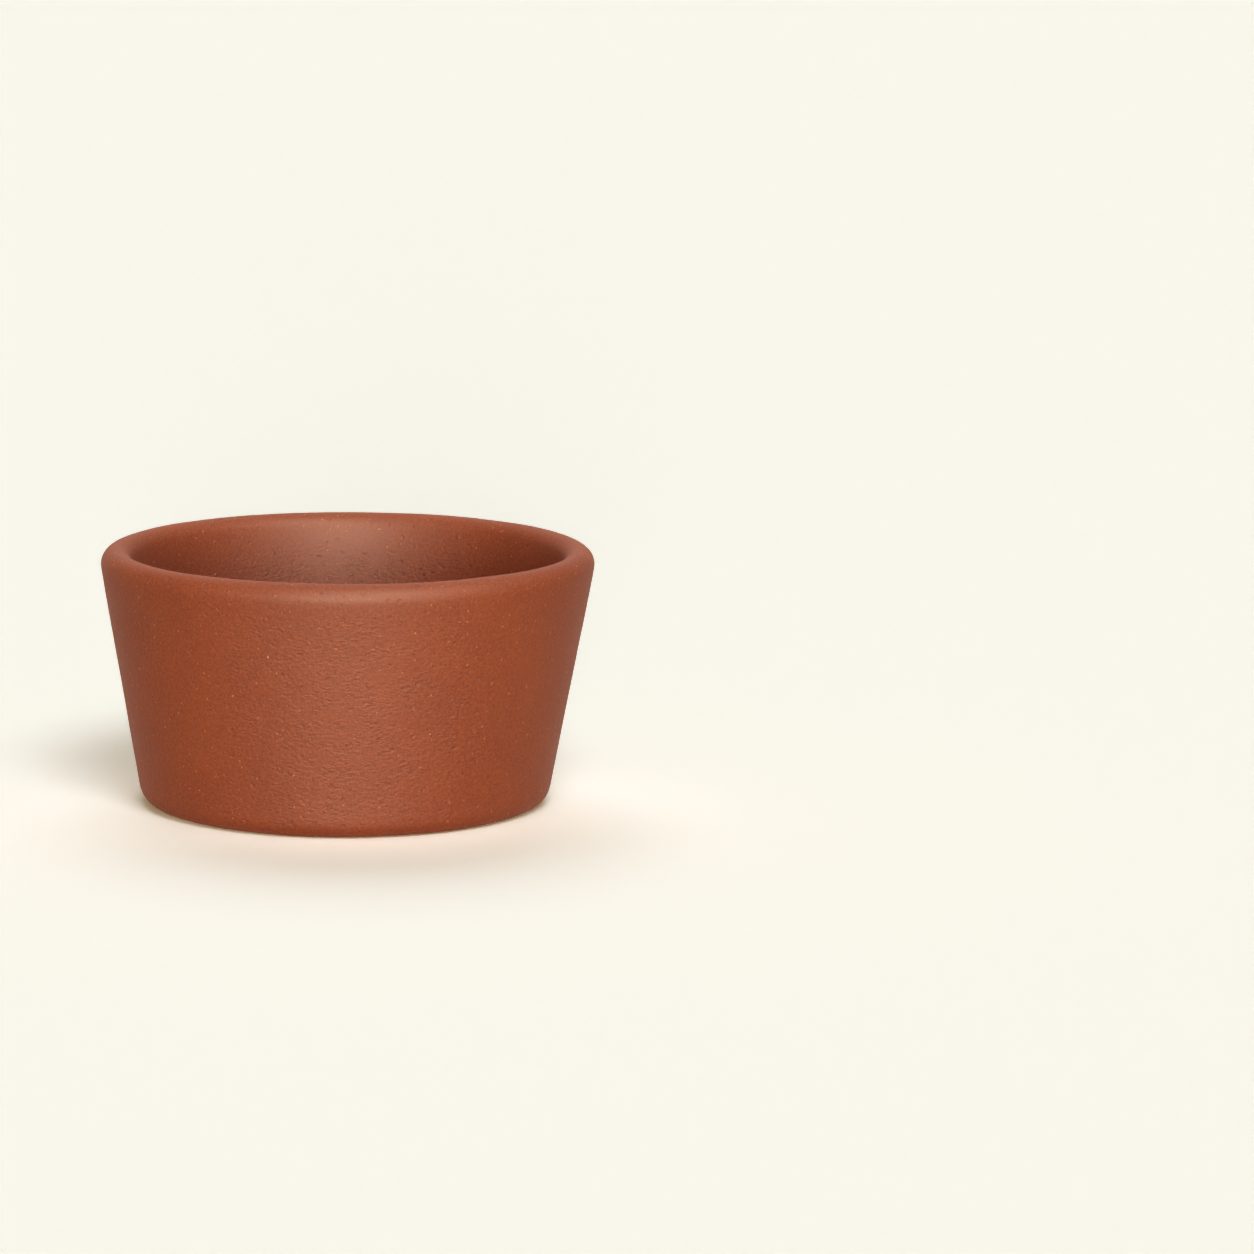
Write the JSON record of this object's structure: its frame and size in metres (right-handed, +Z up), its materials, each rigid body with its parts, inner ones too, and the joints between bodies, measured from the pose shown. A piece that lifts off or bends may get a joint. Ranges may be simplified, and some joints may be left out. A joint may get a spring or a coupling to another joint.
{
  "type": "teacup",
  "caption": "Low round handleless teacup of fired red clay, with a tapered wall, full-round rim, rounded foot edge and recessed base, for drinking tea.",
  "frame": {"origin": "centre of the foot, on the surface the cup stands on", "axes": "+Z up along the cup's axis; -Y faces the viewer in the picture and +X is to the viewer's right"},
  "size_m": [0.07, 0.07, 0.0366],
  "materials": {
    "clay": "satin",
    "slip": "matte"
  },
  "bodies": {
    "root": {"side_wall": "clay", "base_disc": "clay", "luting_slip": "slip", "seam_coil": "clay"}
  },
  "joints": []
}
